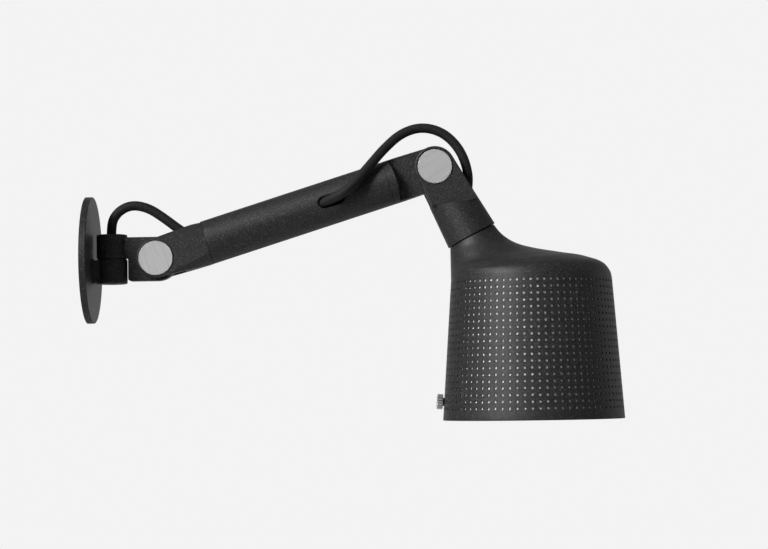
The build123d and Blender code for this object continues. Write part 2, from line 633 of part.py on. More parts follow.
def hood(inset, drop):
    """The hood with its walls moved in by an inset and its neck end moved down the neck by a drop."""
    sections = [circle_on(meet_cap(left_points, -inset, drop), meet_cap(shoulder_points, inset, drop))]
    first = 2 if drop else 1
    for i in range(first, len(shoulder_points) - 1):
        sections.append(circle_on(inside(left_points, i, -inset), inside(shoulder_points, i, inset)))
    level = Vector(inset, 0, 0)
    sections.append(circle_on(left_foot + level, right_foot - level))
    return loft(sections)


def cone(inset, low, high):
    """The plain cone between two heights, carried on past its ends, with its wall moved in by an inset."""
    radii = [SHADE_RIM_R - inset - cone_slope * (z - rim) for z in (low, high)]
    return Pos(shade_x, 0, low) * Cone(*radii, high - low, align=BASE)


shade = hood(0, 0) + cone(0, rim, cone_top)
shade -= hood(SHADE_WALL, NECK_CAP_T) + cone(SHADE_WALL, rim - BITE, cone_top)
shade = fillet(shade.edges().group_by(Axis.Z)[0], RIM_ROUND)
shade -= rod(neck_axis, neck_hole_d, shade_face - BITE, shade_under + 2 * BITE)

# Liner: a thin white tube just behind the cone, which shows through its holes
liner_face = SHADE_WALL + LINER_GAP
liner_back = liner_face + LINER_T
liner_foot = rim + LINER_INSET
liner_top = cone_top + LINER_ABOVE
liner = cone(liner_face, liner_foot, liner_top) - cone(liner_back, liner_foot, liner_top)

# Dimmer: a body inside the shade, a bush and nut through its wall, and a knurled knob on the shaft
dimmer_r = SHADE_RIM_R - cone_slope * DIMMER_UP
dimmer = Plane(
    origin=(shade_x - dimmer_r, 0, rim + DIMMER_UP), x_dir=(0, 1, 0), z_dir=(-1, 0, cone_slope)
)
bush_hole = rod(dimmer, DIMMER_BUSH_D + 2 * SEAT, -2 * liner_back, SHADE_WALL)
nodes["lamp_shade"] = shade - bush_hole
nodes["shade_liner"] = liner - bush_hole
nut_seat = -liner_back - DIMMER_NUT_GAP
body_face = nut_seat - DIMMER_NUT_T
nodes["dimmer_bush"] = ring(
    dimmer, DIMMER_BUSH_D, DIMMER_SHAFT_D + 2 * RUN, body_face, KNOB_GAP - RUN
)
nodes["dimmer_nut"] = prism(dimmer, hexagon(DIMMER_NUT_AF), body_face, nut_seat) - rod(
    dimmer, DIMMER_BUSH_D + 2 * SEAT, body_face, nut_seat
)
dimmer_back = body_face - DIMMER_BODY_L
nodes["dimmer_body"] = rod(dimmer, DIMMER_BODY_D, dimmer_back, body_face)
knob_end = KNOB_GAP + KNOB_L
nodes["dimmer_shaft"] = rod(dimmer, DIMMER_SHAFT_D, body_face + RUN, knob_end - KNOB_FACE)
teeth = []
for i in range(2 * KNOB_TEETH):
    reach = KNOB_D / 2 - KNOB_TOOTH * (i % 2)
    turn = radians(180 * i / KNOB_TEETH)
    teeth.append((reach * cos(turn), reach * sin(turn)))
knob = prism(dimmer, make_face(Polyline(*teeth, close=True)), KNOB_GAP, knob_end)
knob -= rod(dimmer, DIMMER_SHAFT_D + 2 * SEAT, KNOB_GAP - BITE, knob_end - KNOB_FACE)
nodes["dimmer_knob"] = knob

# Dimmer lead: from the dimmer up the inside of the shade to the side of the lampholder cap
holder_side = head_pivot + neck_dir * (cap_end - HOLDER_CAP_L / 2) - across_dir * (HOLDER_D / 2 + LEAD_GAP)
lead_start = dimmer.from_local_coords((0, -DIMMER_BODY_D / 2 - LEAD_GAP, dimmer_back + DIMMER_BODY_L / 2))
wall_in = shade_x - SHADE_RIM_R + liner_back
lead_way = [(wall_in + cone_slope * up + off, 0, rim + up) for up, off in LEAD_ROUTE]
nodes["dimmer_lead"] = cord(
    "dimmer_lead", [lead_start, *lead_way, holder_side - across_dir * LEAD_STUB, holder_side], LEAD_D
)

# Cord: out of the barrel and over the elbow into the arm, along the tube, out of the slot and over the head
# pivot into the neck
in_arm = arm.from_local_coords
in_head = head.from_local_coords
wall_loop_end = in_arm((57, 0, 0))
slot_start = in_arm((122, -0.4, 7))
nodes["cord_loop_wall"] = cord(
    "cord_loop_wall",
    [
        (BARREL_X, 0, PIVOT_TUBE_HIGH),
        (BARREL_X, 0, 29),
        (22.9, 0, 39),
        (34.6, 0, 44.4),
        (48, 0, 41),
        (60.5, 0, 32.6),
        (73.5, 0, 23),
        (86, 0, 15.5),
        in_arm((46, 0, 0)),
        wall_loop_end,
    ],
    CORD_D,
)
nodes["cord_in_arm"] = cord(
    "cord_in_arm",
    [wall_loop_end, in_arm((76, 0, 0)), in_arm((100, -1.4, 2.6)), slot_start],
    CORD_D,
)
nodes["cord_loop_head"] = cord(
    "cord_loop_head",
    [
        slot_start,
        in_arm((134.4, 0.15, 9.5)),
        in_arm((145.9, 0.6, 19)),
        (202.6, -25.2, 47.8),
        (213.6, -24, 57.4),
        (224.7, -17.5, 70.7),
        (235.9, -9, 85.2),
        (249.7, -2.5, 98),
        (266.5, 0, 103),
        (283.6, 0, 97.7),
        (296.3, 0, 83.6),
        (302.2, 0, 66.3),
        in_head((*CORD_ENTRY, 0)),
        in_head((35.2, 7.6, 0)),
        in_head((NECK_TUBE_TOP - CORD_TURN, 0, 0)),
        in_head((55, 0, 0)),
    ],
    CORD_D,
)

os.makedirs("parts", exist_ok=True)
for name, shape in nodes.items():
    export_step(shape, f"parts/{name}.step")
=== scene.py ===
import math

import bmesh
import bpy
import numpy as np
from mathutils import Matrix


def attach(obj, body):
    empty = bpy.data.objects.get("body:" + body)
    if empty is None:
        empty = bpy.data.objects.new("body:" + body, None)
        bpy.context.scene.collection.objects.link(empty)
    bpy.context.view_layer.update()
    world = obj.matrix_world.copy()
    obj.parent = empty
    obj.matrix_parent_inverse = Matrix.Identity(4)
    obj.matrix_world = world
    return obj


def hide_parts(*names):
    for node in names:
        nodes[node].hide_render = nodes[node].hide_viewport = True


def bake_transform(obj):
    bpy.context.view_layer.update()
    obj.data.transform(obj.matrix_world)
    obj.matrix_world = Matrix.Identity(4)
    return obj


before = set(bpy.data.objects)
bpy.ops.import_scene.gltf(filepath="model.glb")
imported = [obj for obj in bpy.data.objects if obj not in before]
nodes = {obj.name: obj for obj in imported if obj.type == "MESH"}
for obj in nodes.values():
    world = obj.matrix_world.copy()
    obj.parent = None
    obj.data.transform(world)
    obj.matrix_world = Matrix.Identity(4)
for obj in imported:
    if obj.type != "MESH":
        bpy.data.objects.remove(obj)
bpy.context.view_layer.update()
MM = 0.001

# Camera: a long lens level with the shade, square to the lamp's side, tipped up and rolled a little, as a
# hand-held product shot is. Its axis meets the lamp's middle plane at one point, a known distance away.
PHOTO_WIDTH_PX = 768
FOCAL_PX = 2093
SENSOR_MM = 36
AIM = np.array([234.3, 0, -14.5]) * MM
AIM_DISTANCE = 1653.5 * MM
PITCH = math.radians(3.2)
ROLL = math.radians(0.85)
forward = np.array([0, math.cos(PITCH), math.sin(PITCH)])
level_right = np.array([1.0, 0, 0])
level_up = np.cross(level_right, forward)
right = level_right * math.cos(ROLL) - level_up * math.sin(ROLL)
up = level_up * math.cos(ROLL) + level_right * math.sin(ROLL)
placed = np.eye(4)
placed[:3, :3] = np.stack([right, up, -forward], axis=1)
placed[:3, 3] = AIM - forward * AIM_DISTANCE
lens = bpy.data.cameras.new("camera")
lens.sensor_width = SENSOR_MM
lens.lens = FOCAL_PX / PHOTO_WIDTH_PX * SENSOR_MM
camera = bpy.data.objects.new("camera", lens)
camera.matrix_world = Matrix(placed.tolist())
bpy.context.collection.objects.link(camera)
bpy.context.scene.camera = camera
bpy.context.scene.view_settings.view_transform = "Standard"


# Studio: a pale paper floor well below the lamp, a large soft box to the left of the camera, one behind the
# lamp on the right and a strip above. The camera sees plain pale paper, and reflections see a dim room with
# lit paper at its back.
def linear(hex_colour):
    """An sRGB hex colour as linear RGBA."""
    srgb = np.array([int(hex_colour[i:i + 2], 16) for i in (0, 2, 4)]) / 255
    rgb = np.where(srgb <= 0.04045, srgb / 12.92, ((srgb + 0.055) / 1.055) ** 2.4)
    return (*rgb.tolist(), 1.0)


def add(tree, kind, inputs=None, **settings):
    """Adds a shader node with its settings; an input is a value or another node's output."""
    made = tree.nodes.new("ShaderNode" + kind)
    for name, value in settings.items():
        setattr(made, name, value)
    for name, value in (inputs or {}).items():
        if isinstance(value, bpy.types.NodeSocket):
            tree.links.new(value, made.inputs[name])
        else:
            made.inputs[name].default_value = value
    return made


def new_material(name, **sockets):
    """A material with one Principled shader, its node tree and that shader."""
    material = bpy.data.materials.new(name)
    material.use_nodes = True
    shader = material.node_tree.nodes["Principled BSDF"]
    for socket, value in sockets.items():
        shader.inputs[socket.replace("_", " ")].default_value = value
    return material, material.node_tree, shader


PAPER = "f3f3f3"
FLOOR_Z = -0.62
FLOOR_HALF = 3.0
corners = np.array([[-1, -1, 0], [1, -1, 0], [1, 1, 0], [-1, 1, 0]]) * FLOOR_HALF + [0, 0, FLOOR_Z]
floor_mesh = bpy.data.meshes.new("studio_floor")
floor_mesh.from_pydata(corners.tolist(), [], [(0, 1, 2, 3)])
floor = bpy.data.objects.new("studio_floor", floor_mesh)
bpy.context.collection.objects.link(floor)
paper, _, _ = new_material("matte_paper", Base_Color=linear(PAPER), Roughness=0.9)
floor_mesh.materials.append(paper)

ROOM_LIGHT = 0.35
FRONT_GLOW = 0.07
BACK_GLOW = 0.2
PAPER_GLOW = 0.9
ROOM_DEPTH = (-0.6, 0.5)
PAPER_DEPTH = (0.75, 0.97)
world = bpy.data.worlds.new("studio")
bpy.context.scene.world = world
world.use_nodes = True
tree = world.node_tree
direct = add(tree, "LightPath")
away = add(tree, "SeparateXYZ", {"Vector": add(tree, "TexCoord").outputs["Generated"]})
behind = add(
    tree, "MapRange",
    {
        "Value": away.outputs["Y"], "From Min": ROOM_DEPTH[0], "From Max": ROOM_DEPTH[1],
        "To Min": FRONT_GLOW, "To Max": BACK_GLOW,
    },
)
lit_paper = add(
    tree, "MapRange",
    {
        "Value": away.outputs["Y"], "From Min": PAPER_DEPTH[0], "From Max": PAPER_DEPTH[1],
        "To Max": PAPER_GLOW,
    },
)
glow = add(tree, "Math", {0: behind.outputs["Result"], 1: lit_paper.outputs["Result"]}, operation="ADD")
mirrored = add(
    tree, "Math",
    {0: direct.outputs["Is Glossy Ray"], 1: direct.outputs["Is Transmission Ray"]}, operation="MAXIMUM",
)
diffuse_or_mirror = add(
    tree, "Mix", {"Factor": mirrored.outputs[0], 2: ROOM_LIGHT, 3: glow.outputs[0]}, data_type="FLOAT",
)
strength = add(
    tree, "Mix",
    {"Factor": direct.outputs["Is Camera Ray"], 2: diffuse_or_mirror.outputs[0], 3: 1.0}, data_type="FLOAT",
)
paper_room = tree.nodes["Background"]
paper_room.inputs["Color"].default_value = linear(PAPER)
tree.links.new(strength.outputs[0], paper_room.inputs["Strength"])

SOFT_BOXES = [
    # name, aim along X in mm, azimuth and height in degrees, distance, width and height in m, beam, watts
    ("key_box", 370, -47, 26, 3.0, 1.0, 1.4, 31, 7.2),
    ("fill_box", 20, 112, 8, 1.9, 1.0, 1.2, 180, 2),
    ("top_strip", 260, 10, 80, 1.4, 1.6, 0.4, 180, 0.15),
]
LIT_Z = -40
for name, aim, azimuth, height, distance, width, tall, beam, watts in SOFT_BOXES:
    turn = math.radians(azimuth)
    lift = math.radians(height)
    towards = np.array([math.sin(turn) * math.cos(lift), -math.cos(turn) * math.cos(lift), math.sin(lift)])
    side = np.cross([0, 0, 1], towards)
    side /= np.linalg.norm(side)
    pose = np.eye(4)
    pose[:3, :3] = np.stack([side, np.cross(towards, side), towards], axis=1)
    pose[:3, 3] = np.array([aim, 0, LIT_Z]) * MM + towards * distance
    box = bpy.data.lights.new(name, "AREA")
    box.shape = "RECTANGLE"
    box.size = width
    box.size_y = tall
    box.spread = math.radians(beam)
    box.energy = watts
    stand = bpy.data.objects.new(name, box)
    stand.matrix_world = Matrix(pose.tolist())
    bpy.context.collection.objects.link(stand)


# Wall plate, knuckle and arm castings: aluminium, turned or cast, with a black powder coat that is sprayed
# and baked to a fine matt texture. The grain is drawn about a millimetre wide, coarser than real, to show.
def dress(material, *names):
    """Gives the named nodes a material of their own in place of the plain one."""
    for name in names:
        nodes[name].data.materials.clear()
        nodes[name].data.materials.append(material)


COAT = "19191a"
COAT_FLECK = "4e4e4f"
GRAIN = 0.9 * MM
FLECK_FROM = 0.53
FLECK_FULL = 0.72
PEEL_HEIGHT = 0.08 * MM
coat, tree, shader = new_material("black_powder_coat", Roughness=0.54, Specular_IOR_Level=0.36)
place = add(tree, "TexCoord").outputs["Object"]
grain = add(
    tree, "TexNoise", {"Vector": place, "Scale": 1 / GRAIN, "Detail": 3.0, "Roughness": 0.65},
)
fleck = add(
    tree, "MapRange", {"Value": grain.outputs["Fac"], "From Min": FLECK_FROM, "From Max": FLECK_FULL},
)
coat_colour = add(
    tree, "Mix", {"Factor": fleck.outputs["Result"], 6: linear(COAT), 7: linear(COAT_FLECK)},
    data_type="RGBA",
)
orange_peel = add(
    tree, "Bump", {"Height": grain.outputs["Fac"], "Strength": 0.35, "Distance": PEEL_HEIGHT},
)
tree.links.new(coat_colour.outputs[2], shader.inputs["Base Color"])
tree.links.new(orange_peel.outputs["Normal"], shader.inputs["Normal"])
dress(coat, "wall_plate", "hinge_base", "swivel_block", "arm_fork", "arm_tube", "arm_end", "head_yoke")


# Bracket, pivot tubes, nuts and steel washers: zinc-plated steel, pressed or turned. The plating is pale,
# slightly bluish and clouded in patches of a few millimetres.
def mottled(name, colour, other, patch, detail, **sockets):
    """A material whose colour wanders between two over patches of a size. Gives it, its node tree, its
    shader and the patches' noise."""
    material, tree, shader = new_material(name, **sockets)
    place = add(tree, "TexCoord").outputs["Object"]
    noise = add(tree, "TexNoise", {"Vector": place, "Scale": 1 / patch, "Detail": detail})
    mixed = add(
        tree, "Mix", {"Factor": noise.outputs["Fac"], 6: linear(colour), 7: linear(other)},
        data_type="RGBA",
    )
    tree.links.new(mixed.outputs[2], shader.inputs["Base Color"])
    return material, tree, shader, noise.outputs["Fac"]


ZINC = "b4b8ba"
ZINC_CLOUD = "989da0"
CLOUD = 4 * MM
zinc, tree, shader, cloud = mottled("zinc_plated_steel", ZINC, ZINC_CLOUD, CLOUD, 4.0, Metallic=1.0)
zinc_gloss = add(tree, "MapRange", {"Value": cloud, "To Min": 0.28, "To Max": 0.5})
tree.links.new(zinc_gloss.outputs["Result"], shader.inputs["Roughness"])
dress(
    zinc, "wall_bracket", "hinge_base_screws", "swivel_tube", "swivel_nut", "swivel_spring_washer",
    "neck_tube", "neck_washer_lower", "neck_nut", "dimmer_nut", "dimmer_shaft",
)

# Barrel plug, grub screws and dimmer bush: blackened steel, oiled, with faint turning marks and wear
# drawn as a slightly browner grey mottle.
BLACKENED = "272728"
BLACKENED_WORN = "434140"
TURNING = 0.5 * MM
blackened, tree, shader, marks = mottled(
    "blackened_steel", BLACKENED, BLACKENED_WORN, TURNING, 2.0, Metallic=0.35, Specular_IOR_Level=0.5,
)
blackened_gloss = add(tree, "MapRange", {"Value": marks, "To Min": 0.35, "To Max": 0.55})
tree.links.new(blackened_gloss.outputs["Result"], shader.inputs["Roughness"])
dress(blackened, "barrel_plug", "plate_grub_screws", "tube_grub_screws", "dimmer_bush")

# Thrust and friction washers and the cord's bush: black nylon and rubber, cut from sheet or moulded, dull,
# with a faint mottle.
NYLON = "222222"
NYLON_MOTTLE = "313131"
MOTTLE = 1.5 * MM
nylon, *_ = mottled(
    "black_nylon", NYLON, NYLON_MOTTLE, MOTTLE, 3.0, Roughness=0.6, Specular_IOR_Level=0.35,
)
dress(
    nylon, "swivel_washer", "elbow_friction_washers", "head_friction_washers", "neck_washer_upper",
    "cord_bush",
)

# Pivot discs: heads of the pivot screws and sleeve nuts, turned from stainless steel and brushed straight
# across by hand, so that each disc's lines run its own way. The lines are drawn wide enough to show.
STAINLESS = "c4c4c4"
STAINLESS_LINE = "b4b4b4"
LINE_WIDTH = 0.25 * MM
LINE_LENGTH = 22 * MM
LINE_DEPTH = 0.03 * MM
ELBOW_BRUSHED = 112
HEAD_BRUSHED = 32


def brushed_stainless(name, degrees):
    """Stainless steel with fine lines one way in the disc's plane, given in degrees from level."""
    material, tree, shader = new_material(name, Metallic=1.0)
    place = add(tree, "TexCoord").outputs["Object"]
    turned = add(
        tree, "Mapping", {"Vector": place, "Rotation": (0, math.radians(degrees), 0)}, vector_type="POINT",
    )
    stretched = add(
        tree, "Mapping",
        {"Vector": turned.outputs["Vector"], "Scale": (1 / LINE_LENGTH, 1 / LINE_LENGTH, 1 / LINE_WIDTH)},
    )
    lines = add(tree, "TexNoise", {"Vector": stretched.outputs["Vector"], "Scale": 1.0, "Detail": 4.0})
    spread = add(tree, "MapRange", {"Value": lines.outputs["Fac"], "From Min": 0.32, "From Max": 0.68})
    colour = add(
        tree, "Mix", {"Factor": spread.outputs["Result"], 6: linear(STAINLESS_LINE), 7: linear(STAINLESS)},
        data_type="RGBA",
    )
    gloss = add(tree, "MapRange", {"Value": spread.outputs["Result"], "To Min": 0.8, "To Max": 0.7})
    scratches = add(
        tree, "Bump", {"Height": spread.outputs["Result"], "Strength": 0.2, "Distance": LINE_DEPTH},
    )
    tree.links.new(colour.outputs[2], shader.inputs["Base Color"])
    tree.links.new(gloss.outputs["Result"], shader.inputs["Roughness"])
    tree.links.new(scratches.outputs["Normal"], shader.inputs["Normal"])
    return material


dress(brushed_stainless("brushed_stainless_elbow", ELBOW_BRUSHED), "elbow_screw", "elbow_sleeve_nut")
dress(brushed_stainless("brushed_stainless_head", HEAD_BRUSHED), "head_screw", "head_sleeve_nut")

# Woven cord: two insulated wires in a black cotton braid. It leaves the upper barrel, loops over the wall
# pivot into the arm, runs inside the tube, leaves it by the slot and loops over the head pivot into the
# neck.
CORD_D = 7 * MM
BRAID_STRANDS = 12
BRAID_LAY = 15 * MM
BRAID_HEIGHT = 0.28 * MM
BRAID_MEAN = 0.7
WEAVE_LIFT = 0.45
ARM_PIVOT = np.array([55.6, 0, 0.35])
ARM_TURN = math.radians(17.4)
ARM_AXES = np.array([
    [math.cos(ARM_TURN), 0, math.sin(ARM_TURN)],
    [-math.sin(ARM_TURN), 0, math.cos(ARM_TURN)],
    [0, -1, 0],
])
NECK_TURN = math.radians(27.8)
HEAD_AXES = np.array([
    [math.sin(NECK_TURN), 0, -math.cos(NECK_TURN)],
    [math.cos(NECK_TURN), 0, math.sin(NECK_TURN)],
    [0, -1, 0],
])
ARM_LENGTH = 230.5
HEAD_PIVOT = ARM_PIVOT + ARM_AXES[0] * ARM_LENGTH


def in_arm(*local):
    """A point given along the arm, across it and towards the camera, in millimetres."""
    return (ARM_PIVOT + np.array(local) @ ARM_AXES).tolist()


def in_head(*local):
    """A point given along the neck, across it and towards the camera, in millimetres."""
    return (HEAD_PIVOT + np.array(local) @ HEAD_AXES).tolist()


def smooth_route(points):
    """The line of a NURBS spline that has the route's points as its control points, in metres."""
    curve = bpy.data.curves.new("route", "CURVE")
    curve.dimensions = "3D"
    curve.resolution_u = 32
    spline = curve.splines.new("NURBS")
    spline.points.add(len(points) - 1)
    controls = np.ones((len(points), 4))
    controls[:, :3] = np.array(points) * MM
    spline.points.foreach_set("co", controls.ravel())
    spline.order_u = 3
    spline.use_endpoint_u = True
    holder = bpy.data.objects.new("route", curve)
    line = bpy.data.meshes.new_from_object(holder)
    read = np.empty(len(line.vertices) * 3)
    line.vertices.foreach_get("co", read)
    bpy.data.meshes.remove(line)
    bpy.data.objects.remove(holder)
    bpy.data.curves.remove(curve)
    return read.reshape(-1, 3)


def evenly(line, step):
    """The same line with points a steady step apart, and the distance along it."""
    gaps = np.linalg.norm(np.diff(line, axis=0), axis=1)
    along = np.concatenate([[0], np.cumsum(gaps)])
    places = np.linspace(0, along[-1], int(round(along[-1] / step)) + 1)
    return np.stack([np.interp(places, along, line[:, i]) for i in range(3)], axis=1), places


def ring_quads(rows, columns):
    """The faces of a grid of rows whose last column meets its first; rows that run up face outwards."""
    index = np.arange(rows * columns).reshape(rows, columns)
    index = np.concatenate([index, index[:, :1]], axis=1)
    corners = [index[:-1, :-1], index[:-1, 1:], index[1:, 1:], index[1:, :-1]]
    return np.stack(corners, axis=-1).reshape(-1, 4)


def tube(line, step, sides, radius, relief=None):
    """A closed tube along a line: at each step a ring of points square to the line, whose distance from it
    is the radius plus the relief, a function of the angle round and the distance along. Gives points, faces
    and each point's relief."""
    middle, along = evenly(line, step)
    tangent = np.gradient(middle, axis=0)
    tangent /= np.linalg.norm(tangent, axis=1, keepdims=True)
    across = np.cross(tangent, [0, 1.0, 0])
    across /= np.linalg.norm(across, axis=1, keepdims=True)
    upright = np.cross(across, tangent)
    turn = np.arange(sides) * 2 * math.pi / sides
    height = np.zeros((len(along), sides))
    if relief is not None:
        height = relief(turn[None, :], along[:, None])
    reach = (radius + height)[:, :, None]
    spokes = np.cos(turn)[:, None] * across[:, None, :] + np.sin(turn)[:, None] * upright[:, None, :]
    points = (middle[:, None, :] + reach * spokes).reshape(-1, 3)
    first = np.arange(sides)
    last = first + (len(along) - 1) * sides
    caps = np.concatenate([
        np.stack([np.roll(first, -1), first, np.full(sides, len(points))], axis=1),
        np.stack([last, np.roll(last, -1), np.full(sides, len(points) + 1)], axis=1),
    ])
    faces = ring_quads(len(along), sides).tolist() + caps.tolist()
    points = np.concatenate([points, middle[:1], middle[-1:]])
    return points, faces, np.concatenate([height.ravel(), [0, 0]])


def made_piece(name, points, faces, material, slot, *replaced):
    """A piece with its mesh in place, smooth, that stands for the named nodes."""
    mesh = bpy.data.meshes.new(name)
    mesh.from_pydata(points.tolist(), [], faces)
    mesh.shade_smooth()
    mesh.materials.append(material)
    piece = bpy.data.objects.new(name, mesh)
    bpy.context.collection.objects.link(piece)
    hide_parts(*replaced)
    return piece


def braid(turn, along):
    """Two sets of strands wound opposite ways. Each strand is a round ridge, and where two cross, the one
    that lies on top changes from one crossing to the next."""
    one = BRAID_STRANDS * (turn / (2 * math.pi) + along / BRAID_LAY)
    other = BRAID_STRANDS * (turn / (2 * math.pi) - along / BRAID_LAY)
    weave = WEAVE_LIFT * np.cos(math.pi * np.floor(one)) * np.cos(math.pi * np.floor(other))
    ridge_one = 1 - (2 * (one % 1) - 1) ** 2 + weave * np.sin(math.pi * (other % 1))
    ridge_other = 1 - (2 * (other % 1) - 1) ** 2 - weave * np.sin(math.pi * (one % 1))
    return BRAID_HEIGHT * (np.maximum(ridge_one, ridge_other) - BRAID_MEAN)


# Black cotton braid: dull threads, their crests painted lighter and the gaps between them darker, a painted
# highlight and painted shade that follow the braid's height
COTTON = "0a0a0a"
COTTON_LIT_CREST = "1c1c1d"
LIT_CREST_HEIGHT = 0.2 * MM
cotton, tree, shader = new_material(
    "black_cotton_braid", Roughness=0.7, Specular_IOR_Level=0.28, Sheen_Weight=0.04,
)
braid_shade_height = add(tree, "Attribute", attribute_name="braid_shade_height")
crest_light_share = add(
    tree, "MapRange", {"Value": braid_shade_height.outputs["Fac"], "From Min": 0, "From Max": LIT_CREST_HEIGHT},
)
thread_colour_painted_shade = add(
    tree, "Mix", {"Factor": crest_light_share.outputs["Result"], 6: linear(COTTON), 7: linear(COTTON_LIT_CREST)},
    data_type="RGBA",
)
tree.links.new(thread_colour_painted_shade.outputs[2], shader.inputs["Base Color"])

CORD_STEP = 0.3 * MM
CORD_SIDES = 60
WALL_LOOP = [
    (19.6, 0, 7.75),
    (18.4, 0, 27),
    (23.8, 0, 37.9),
    (34.9, 0, 43.7),
    (48.3, 0, 41.2),
    (60.7, 0, 33),
    (73.5, 0, 23),
    (86, 0, 15.5),
    in_arm(46, 0, 0),
    in_arm(57, 0, 0),
]
INSIDE_ARM = [in_arm(57, 0, 0), in_arm(76, 0, 0), in_arm(100, -1.4, 2.6), in_arm(122, -0.4, 7)]
HEAD_LOOP = [
    in_arm(122, -0.4, 7),
    in_arm(134.4, 0.15, 9.5),
    in_arm(145.9, 0.6, 19),
    (202.6, -25.2, 47.8),
    (213.6, -24, 57.4),
    (224.7, -17.5, 70.7),
    (236.2, -9, 84.8),
    (250, -2.5, 97.5),
    (266.5, 0, 102.5),
    (283.6, 0, 97.4),
    (296.3, 0, 83.6),
    (302.2, 0, 66.3),
    in_head(27.2, 15.4, 0),
    in_head(35.2, 7.6, 0),
    in_head(44, 0, 0),
    in_head(55, 0, 0),
]


def woven_cord(name, points, node):
    """One stretch of the woven cord, in place of its node, with the line that it follows."""
    line = smooth_route(points)
    mesh_points, faces, height = tube(line, CORD_STEP, CORD_SIDES, CORD_D / 2 + BRAID_HEIGHT / 2, braid)
    piece = made_piece(name, mesh_points, faces, cotton, "braided_cord", node)
    # the braid's height at each point, which paints the gaps darker and the crests lighter
    braid_shade_height = piece.data.attributes.new("braid_shade_height", "FLOAT", "POINT")
    braid_shade_height.data.foreach_set("value", height.astype(np.float32))
    return piece, line


wall_loop, wall_line = woven_cord("woven_cord_wall", WALL_LOOP, "cord_loop_wall")
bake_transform(wall_loop)
inner_cord, _ = woven_cord("woven_cord_inside_arm", INSIDE_ARM, "cord_in_arm")
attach(inner_cord, "arm")
head_loop, head_line = woven_cord("woven_cord_head", HEAD_LOOP, "cord_loop_head")
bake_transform(head_loop)

# Supply wires: two single wires in white plastic insulation, from the wall along the stem of the knuckle
# and up through its hollow pivot.
WIRE_SIDES = 20
WIRE_STEP = 0.6 * MM
INSULATION = "dcdad4"
INSULATION_SOILED = "c4c1b9"
insulation, *_ = mottled(
    "white_wire_insulation", INSULATION, INSULATION_SOILED, CLOUD, 3.0, Roughness=0.42,
)
WIRE_R = 1 * MM
WIRE_OFFSET = 1.02
WIRE_ROUTE = np.array([(0, -13.2), (16.6, -13.2), (19.6, -13.2), (19.6, -10.2), (19.6, 7.75)])
wire_shapes = [
    tube(
        smooth_route(np.insert(WIRE_ROUTE, 1, side * WIRE_OFFSET, axis=1)), WIRE_STEP, WIRE_SIDES, WIRE_R,
    )
    for side in (-1, 1)
]
wire_count = len(wire_shapes[0][0])
wire_faces = wire_shapes[0][1] + [[i + wire_count for i in face] for face in wire_shapes[1][1]]
supply_wires = made_piece(
    "supply_wire_pair", np.concatenate([wire_shapes[0][0], wire_shapes[1][0]]), wire_faces, insulation,
    "wire_insulation", "supply_wires",
)
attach(supply_wires, "wall_mount")

# Lampholder and bulb: a white moulded holder with a brass contact, and a screw bulb with a nickel-plated
# base and an opal glass globe.
HOLDER = "d8d6cf"
HOLDER_SHADE = "cac7bf"
FLOW = 6 * MM
holder, *_ = mottled("white_moulded_plastic", HOLDER, HOLDER_SHADE, FLOW, 2.0, Roughness=0.38)
dress(holder, "lampholder_cap", "lampholder_body")

BRASS = "c9a35e"
BRASS_TARNISH = "a98447"
TARNISH = 1.2 * MM
brass, *_ = mottled("bare_brass", BRASS, BRASS_TARNISH, TARNISH, 3.0, Metallic=1.0, Roughness=0.32)
dress(brass, "lampholder_contact")

THREAD_PITCH = 2.82 * MM
THREAD_DEPTH = 0.4 * MM
NICKEL = "c3c2bf"
nickel, tree, shader = new_material(
    "nickel_plated_cap", Metallic=1.0, Base_Color=linear(NICKEL), Roughness=0.3,
)
place = add(tree, "TexCoord").outputs["Object"]
along_neck = add(
    tree, "VectorMath", {0: place, 1: tuple(HEAD_AXES[0])}, operation="DOT_PRODUCT",
)
turns = add(
    tree, "Math", {0: along_neck.outputs["Value"], 1: 2 * math.pi / THREAD_PITCH}, operation="MULTIPLY",
)
thread = add(tree, "Math", {0: turns.outputs[0]}, operation="SINE")
rolled = add(tree, "Bump", {"Height": thread.outputs[0], "Strength": 0.8, "Distance": THREAD_DEPTH})
tree.links.new(rolled.outputs["Normal"], shader.inputs["Normal"])
dress(nickel, "bulb_base")

OPAL = "efeee9"
OPAL_THICK = "e3e1da"
BLOWN = 14 * MM
opal, *_ = mottled(
    "opal_glass", OPAL, OPAL_THICK, BLOWN, 2.0, Roughness=0.22, Coat_Weight=0.4, Coat_Roughness=0.08,
)
dress(opal, "bulb_globe")

# Shade: spun from aluminium sheet a millimetre thick, with a hood that leans from the tilted neck over to a
# plain cone, and 20 rows of 76 punched holes in the cone. It is coated like the arm. Lengths are in mm.
NECK_FACE = 61.7
NECK_R = 19.6
NECK_CAP = 3
NECK_HOLE_R = 6.05
EDGE_SOFT = 0.3
SHADE_AHEAD = 75.05
SHADE_DROP = 92.18
SHADE_X = HEAD_PIVOT[0] + SHADE_AHEAD
CONE_TOP = HEAD_PIVOT[2] - SHADE_DROP
CONE_H = 107.4
RIM_Z = CONE_TOP - CONE_H
RIM_R = 71.45
TOP_R = 63.6
CONE_SLOPE = (RIM_R - TOP_R) / CONE_H
WALL = 1.0
HOLE_R = 1.0
HOLE_ROWS = 20
HOLE_COLUMNS = 76
ROW_PITCH = 5.17
FIRST_ROW_Z = -22.9
FIRST_COLUMN = 0
CELL_SIDE = 3
BUSH_CELL = (18, HOLE_COLUMNS * 3 // 4)
HOOD_ROWS = 64
SHOULDER_SHARES = np.array([
    (0, 0), (0.0565, 0.1427), (0.148, 0.2802), (0.227, 0.3495), (0.315, 0.3965), (0.566, 0.4903),
    (0.7799, 0.5692), (0.948, 0.7206), (0.988, 0.85),
])
LEFT_SHARES = np.array([0, 0.08, 0.17, 0.28, 0.44, 0.60, 0.71, 0.82, 0.91, 1])
